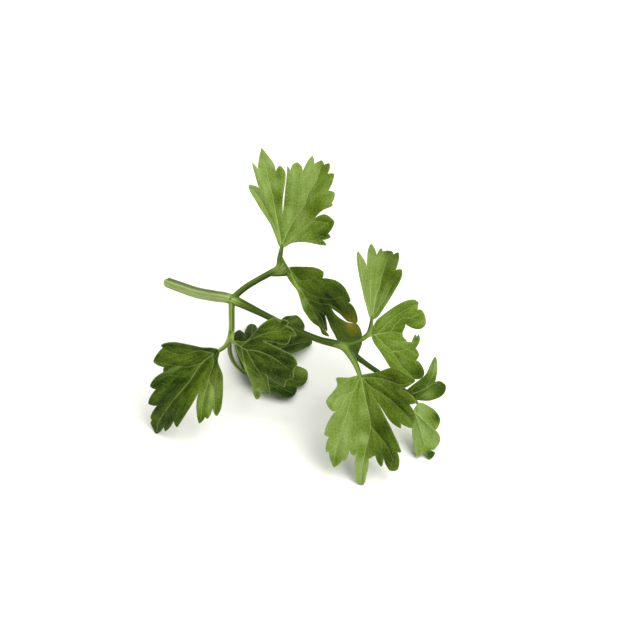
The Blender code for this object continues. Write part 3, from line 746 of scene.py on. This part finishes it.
# The arched leaflet hangs from the same fork. Its blade is folded up along the midrib, so a narrow
# strip of it shows on one side, and one lobe has a yellowing patch.
grow_leaflet("leaf_arched", [
    (-0.5, -0.5), (-7, 1.5), (-9, 3), (-10, 4.5), (-8.5, 6.5), (-13, 9), (-14, 10.5), (-14.5, 14),
    (-13.5, 14), (-15, 15.3), (-15.6, 17.5), (-15.3, 19.34), (-13.5, 19.36), (-12, 19),
    (-9.8, 16.9), (-7.6, 15.1), (-8.6, 17), (-9.8, 18.2), (-11.7, 19.3), (-13.5, 19.54), (-15.4, 19.58),
    (-16.6, 21.7), (-16.5, 26), (-13, 36.5), (-10.5, 33), (-4, 15),
    (-5, 19), (-5, 24.5), (-3, 21.5), (-2, 17.5), (-3.5, 22.5), (-5.5, 27), (-3.5, 26.5), (-2.5, 23.5),
    (-1, 22), (1.5, 14), (1, 7), (1.5, 1)],
    veins=[[(0, 0), (0, 6), (-0.5, 9), (-0.5, 11.5), (-1, 14.5), (-1.5, 17), (-2.5, 21), (-5, 26.5)],
           [(-0.5, 1), (-2, 5), (-7, 5.5)],
           [(-0.5, 7), (-3, 10.5), (-7.5, 12.5), (-12, 12.5)],
           [(-0.5, 11), (-4.5, 13.5), (-8, 14.5), (-13.5, 19)],
           [(-0.5, 13), (-5, 18), (-9.5, 26.5), (-12, 35.5)],
           [(-1, 14), (-3.5, 18.5), (-4.5, 23.5)]],
    bends=[((0, 0), 180, 62, 1.2), ((0, 6), 70, -35, 22)],
    tone=0.33, keel=0.5, seed=2,
    shades=[(0.8, 6, 3, 0.45), (1, 12, 2.5, 0.45), (-1, 19, 1.2, 0.4), (-3.8, 19, 2.2, -0.3),
            (-8.5, 12, 3, -0.22), (-6, 15, 2.5, -0.15), (-11, 26, 6, 0.3), (-8, 3, 4, 0.2)],
    spots=[(-14, 19.6, 2.2)])

# The left leaflet lies out to the left and droops to the table on its tip. Its long middle lobe is
# nearly flat, and the small lobe beside the slit falls away from it.
grow_leaflet("leaf_left", [
    (1.5, 0), (4.5, 2.5), (12, 7), (14.5, 10.5), (13.5, 11), (13, 16.5), (9.5, 15.5), (8.5, 17),
    (5.5, 11.5), (8.5, 16.5), (9.5, 20), (9, 23), (7, 22.5), (6, 29), (3.5, 27.5), (2.5, 33.5),
    (2, 33.5), (0.5, 37), (-1, 32), (-3.5, 32.5), (-3.5, 27), (-5.5, 28), (-4, 15), (-2.5, 10.5),
    (-5, 16.5), (-7, 19), (-10, 21.5), (-10, 18.5), (-11, 18.5), (-10, 15), (-12.5, 16), (-12, 13),
    (-6, 4.5), (-2, 2), (-0.5, -0.5)],
    veins=[[(0.5, 1.5), (1.5, 6.5), (1, 13.5), (1, 20), (1, 32), (0.5, 36)],
           [(0.5, 2), (-1.5, 4), (-3.5, 8.5), (-6.5, 10), (-11, 15)],
           [(0.5, 1.5), (4.5, 4), (8, 9), (12.5, 11)],
           [(1.5, 6.5), (4.5, 11), (9, 14), (12.5, 16)],
           [(-3.5, 8.5), (-6, 14.5), (-9.5, 20)]],
    bends=[((0, 20), 90, -20, 14), ((0.5, 0), 0, 24, 2.5), ((-2, 4), 180, -20, 4)],
    tone=0.13, keel=1.2, seed=3,
    shades=[(-6.5, 9, 4.5, 0.62), (-7.5, 16, 5, 0.55), (7.5, 9, 5, 0.18), (0, 34, 5, 0.12)])

# The inner leaflet hangs beside it on the same fork, turned on edge towards the front, so that it
# passes in front of the main stalk and its lower lobe hangs down in a fold, lit and painted brighter.
grow_leaflet("leaf_inner", [
    (-0.6, 0.4), (-1.6, 3.2), (-5.4, 4.8), (-9, 6), (-11.6, 7.8), (-13, 9.6), (-12, 10.8), (-13, 11.2),
    (-13.2, 13.2), (-11.6, 13.2), (-11.2, 15.4), (-9.8, 17), (-9.2, 15.4), (-8, 15.6), (-6.4, 15.4),
    (-5.6, 13.6), (-5.4, 11.6), (-4.4, 8.4), (-3.6, 18.4), (-1.6, 20.4), (0.6, 20), (3.4, 21),
    (5.2, 19.4), (9, 19.4), (8.2, 16.4), (6, 13), (10, 14.8), (15, 16.4), (12.8, 12.8), (16.6, 15.2),
    (11, 10.6), (5.8, 6), (2, 2)],
    veins=[[(0, 0.5), (0.5, 4.5), (-0.5, 8), (-0.5, 12.5), (0.5, 17), (1.5, 20.5)],
           [(0.5, 2.5), (-3.5, 5), (-7.5, 9), (-10, 13.5), (-10, 16)],
           [(0.5, 4.5), (3.5, 8), (7.5, 12), (13.5, 15.5)],
           [(0.5, 3), (4.5, 5.5), (9, 9), (15.5, 14)]],
    bends=[((2, 12), 20, -32, 9), ((-4, 10), 150, -8, 10), ((0, 0), 180, 8, 3), ((1.6, 4), -48, 28, 3)],
    tone=0.12, keel=0.6, rim=0.35, seed=4,
    shades=[(5.6, 6, 2.6, 0.5), (10, 10, 3, 0.6), (13.5, 13.5, 3.5, 0.4), (-8, 9, 4, 0.2)])

# The floor leaflet is the lowest. It lies almost flat on the table behind the others on a thin
# stalk, its lobes spread and their edges drooping.
grow_leaflet("leaf_floor", [
    (0.5, 0), (5, -0.5), (11, -2), (12.5, -1), (15, -1), (17, 0.5), (17.5, 3), (16.5, 5.5), (18, 8),
    (17.5, 11), (16, 13), (12, 12), (8, 11.5), (8.5, 15), (10.5, 18.5), (11.5, 22), (12, 25), (11, 27),
    (8.5, 27), (4, 24), (7, 28), (6, 31), (3, 33.5), (1, 35), (-1, 36), (-2, 35), (-3.5, 32.5),
    (-3.2, 29), (-2.5, 22), (-3.5, 19), (-6, 18.5), (-8.5, 22), (-12, 24.5), (-12.5, 24), (-11.5, 20),
    (-9.5, 16.5), (-11, 17.5), (-13, 18.5), (-14, 17), (-12.5, 14), (-9.5, 10), (-5, 5), (-1, 1)],
    veins=[[(0, 0), (-0.5, 9), (-1, 18), (-1.5, 28), (-1.5, 37)],
           [(0.5, 2), (5, 5), (11, 6.5), (17, 7)],
           [(0, 6), (3.5, 13), (7.5, 19.5), (10.5, 25)],
           [(-0.5, 5), (-4, 12), (-8.5, 19), (-12, 25)],
           [(1, 2), (6, 2), (11, 1.5), (16.5, 2.5)]],
    bends=[((0, 15), 90, -16, 20), ((3, 0), 0, -22, 12), ((-3, 0), 180, -14, 12)],
    tone=0.05, keel=0.5, seed=5, shades=[(15.5, 11, 3, 0.6), (1, 31, 4, 0.2)])

# The upright leaflet stands on the right-hand fork, half closed along its midrib, with one long
# finger of a lobe on its left and its upper edge curling forwards.
grow_leaflet("leaf_upright", [
    (-0.5, 0.5), (-6, 10.5), (-8.5, 16), (-9, 19.5), (-4.5, 15), (-5.5, 19.5), (-5.5, 22.5),
    (-2, 19.5), (-1.5, 22), (-0.5, 21), (3, 21.5), (3.5, 20.5), (5.5, 21.5), (5, 16), (7, 16.5),
    (7.5, 14), (2, 1.5), (0.5, 0.5)],
    veins=[[(0, 0.5), (0, 4), (0, 8), (0.5, 10.5), (0.5, 13.5), (1.5, 20)],
           [(0, 0.5), (-1.5, 6), (-3, 13.5), (-4.5, 21.5)],
           [(0, 0.5), (-3, 5.5), (-6, 12.5), (-8.5, 18.5)],
           [(0, 1), (3, 6.5), (4.5, 11.5), (7, 15.5)]],
    bends=[((0, 19), 90, 28, 5), ((0, 0), 0, 38, 1.5), ((0, 0), 180, 30, 2.5)],
    tone=0.8, keel=0.5, wave=0.3, seed=6, shades=[(4.5, 13, 3.5, -0.5), (6, 20, 4, -0.25)])

# The hooked leaflet leaves the same fork towards the right. Its upper lobe hooks over a gap that an
# insect has eaten into the middle, and its lower lobe reaches down behind the front leaflet.
grow_leaflet("leaf_hooked", [
    (-4, 0.5), (-7, 3.5), (-10.5, 10.5), (-11, 14.5), (-10.5, 15), (-10.5, 15.5), (-8, 15), (-8, 16.5),
    (-4.5, 17.5), (-3, 17), (-2, 15), (-3.5, 10.5), (0, 10), (2, 11.5), (2, 13), (-0.5, 14),
    (0.5, 14.5), (-0.5, 15), (1.5, 15.5), (4, 14.5), (6, 16), (7.5, 15), (9, 17), (12, 18.5),
    (13.5, 17), (13.5, 15), (10.5, 7), (5, 2.5), (1, 0)],
    veins=[[(0, 1), (-1, 5.5), (-0.5, 9.5)],
           [(-1, 6), (-3, 7), (-5, 9), (-5.5, 11), (-5, 14.5)],
           [(0, 1), (2.5, 3.5), (5, 6.5), (9.5, 10.5), (13, 15)],
           [(0, 1.5), (-4, 5), (-7, 9), (-9.5, 14.5)],
           [(5, 6.5), (4.5, 10.5), (3, 13.5)]],
    bends=[((-2, 11), 150, -26, 8), ((2, 10), 30, -22, 8), ((0, 0), 0, 10, 3), ((0, 0), 180, 12, 3)],
    tone=0.5, keel=1.0, seed=7,
    shades=[(-5.7, 11, 3.5, -0.15), (5, 10, 4, 0.1), (11, 18, 4, -0.15), (-6, 4, 4, 0.08)])

# The front leaflet is the broadest. It hangs towards the front on its own stalk and rests on its
# long middle lobe; two slits reach almost to its base.
grow_leaflet("leaf_front", [
    (1.5, 0), (4, 0.5), (8, 0.5), (7.5, 2.5), (11, 7.5), (9, 10.5), (7.5, 10), (10, 13), (11.5, 17.5),
    (10, 18), (11, 22.5), (10, 22.5), (8.5, 27.5), (6, 25), (5.5, 25.5), (4, 22), (2.5, 24), (1.6, 23),
    (1.9, 30.5), (1.5, 32.6), (0.6, 33.2), (-0.3, 32.2), (-0.9, 30), (-1.6, 25), (-3.5, 24), (-4, 24),
    (-5.5, 27.5), (-6.5, 24.5),
    (-8, 28.5), (-10.5, 28.5), (-11.5, 25), (-11, 23), (-12.5, 23), (-8, 13), (-3.2, 4.8), (-9.5, 14),
    (-12.5, 16), (-12.5, 14.5), (-16, 16), (-17.5, 13), (-15.5, 9), (-18, 8.5), (-16, 6), (-12.5, 4.5),
    (-17.5, 2), (-14, -0.5), (-10.5, -2), (-6, -1)],
    veins=[[(0, 0.5), (-0.5, 1), (-1.5, 7.5), (-2.5, 15), (-1, 22), (0.8, 32)],
           [(-0.5, 0.5), (-3.5, 3.5), (-8, 6.5), (-11.5, 9.5), (-15.5, 13.5)],
           [(-2.5, 15), (-5, 18), (-7.5, 21), (-9.5, 25.5)],
           [(0, 0.5), (2.5, 5), (4, 10.5), (5, 13.5), (7.5, 20.5), (8.5, 25.5)],
           [(0.5, 1), (1.5, 4), (5, 5.5), (8.5, 7)],
           [(-0.5, 0.5), (-6.5, 1), (-12.5, 3), (-16.5, 2.5)]],
    bends=[((0, 22), 90, -10, 16), ((7, 9), 20, -18, 8), ((0.5, 0), 0, 22, 2.5),
           ((-0.5, 0), 180, 26, 4)],
    tone=0.56, keel=1.2, rim=0.2, seed=8,
    shades=[(7, 8, 5, 0.3), (7.5, 19, 6, 0.4), (0.8, 29, 3.5, 0.9), (-0.7, 19, 1.8, 0.5),
            (-0.6, 11, 1.5, 0.3), (-7, 16, 4, -0.35), (-12, 7, 5, -0.22), (-13.7, 12.4, 3, -0.15),
            (-10, 0, 5, -0.3), (-7, 25, 4, -0.35)])

# The two end leaflets close the stalk's far end, and both show their pale under sides. The upper
# one stands up to a point and curls over on its right.
grow_leaflet("leaf_end_upper", [
    (0.5, -1), (3.5, -1), (3, 7), (5, 13), (3, 12), (-0.5, 7.5), (-1.5, 9), (-3.5, 9.5), (-5, 7.5),
    (-5, 4), (-4, 2)],
    veins=[[(1.5, 0), (0, 4), (-0.5, 7), (-3, 8)],
           [(0, 4), (1.5, 8.5), (4, 12)]],
    bends=[((-1, 7), 140, -35, 3), ((0, 0), 0, 14, 2), ((0, 0), 180, 14, 2)],
    tone=0.1, keel=0.4, wave=0.25, seed=9,
    shades=[(3, 10.5, 3.5, 0.8), (-2.4, 3, 1.8, 0.6), (-3, 7.3, 2.5, 0.2)])

# The lower one hangs to the table on its tip, with the edge of its right lobe rolled under.
grow_leaflet("leaf_end_lower", [
    (0.5, 0), (2, 1.5), (4, 5.5), (4, 8.5), (1.5, 10.5), (1, 10.5), (1.5, 11.5), (1, 14.5), (-2, 16),
    (-3.5, 15), (-2, 17), (-4.5, 18), (-5, 16), (-4.5, 15), (-7.5, 15.5), (-6.5, 10.5), (-2, 1.5)],
    veins=[[(-2, 2), (-0.5, 6.5), (1.5, 12.5)],
           [(-2, 3), (-3, 8.5), (-4, 13.5)]],
    bends=[((-2, 12), 130, -30, 4), ((2, 6), 0, 12, 3), ((0, 0), 180, 10, 2)],
    tone=0.88, keel=0.4, wave=0.25, seed=10,
    shades=[(3.4, 7, 2.6, -0.9), (-3.4, 17, 2, -1.0), (-3, 9, 2, 0.2), (-5, 14, 3, -0.2)])


# ---- The table, the light and the camera ----
# A smooth matt white table top with white walls all round, under two large soft lights: the
# stronger is high in front on the right, and the weaker is overhead. The camera looks down from in front.
bpy.ops.mesh.primitive_circle_add(vertices=96, radius=2.0, fill_type="NGON")
table = bpy.context.view_layer.objects.active
table.name = table.data.name = "table_top"
white_board = bpy.data.materials.new("matt_white_board")
white_board.use_nodes = True
board_shader = white_board.node_tree.nodes["Principled BSDF"]
board_shader.inputs["Base Color"].default_value = linear("F4F4F2")
board_shader.inputs["Roughness"].default_value = 0.9
table.data.materials.append(white_board)

walls = bpy.data.worlds.new("white_walls")
walls.use_nodes = True
wall_glow = walls.node_tree.nodes["Background"]
wall_glow.inputs["Color"].default_value = linear("FFFFFA")
wall_glow.inputs["Strength"].default_value = 0.28
bpy.context.scene.world = walls


def soft_light(name, place, power):
    """A large square light that faces the middle of the sprig."""
    lamp = bpy.data.lights.new(name, "AREA")
    lamp.size = 1.6
    lamp.energy = power
    lamp.color = linear("FFFFFA")[:3]
    holder = bpy.data.objects.new(name, lamp)
    holder.location = place
    holder.rotation_euler = (Vector((0, 0, 0.03)) - Vector(place)).to_track_quat("-Z", "Y").to_euler()
    bpy.context.scene.collection.objects.link(holder)


soft_light("side_light", (1.10, -0.60, 1.56), 45.0)
soft_light("top_light", (0.10, 0.35, 2.0), 28.0)

camera_data = bpy.data.cameras.new("camera")
camera_data.lens = 85
camera_data.sensor_width = 36
camera_data.clip_start = 0.01
camera = bpy.data.objects.new("camera", camera_data)
camera.location = (0.0074, -0.3232, 0.35608)
camera.rotation_euler = (math.radians(45), 0, 0)
bpy.context.scene.collection.objects.link(camera)
bpy.context.scene.camera = camera
bpy.context.scene.view_settings.view_transform = "Standard"
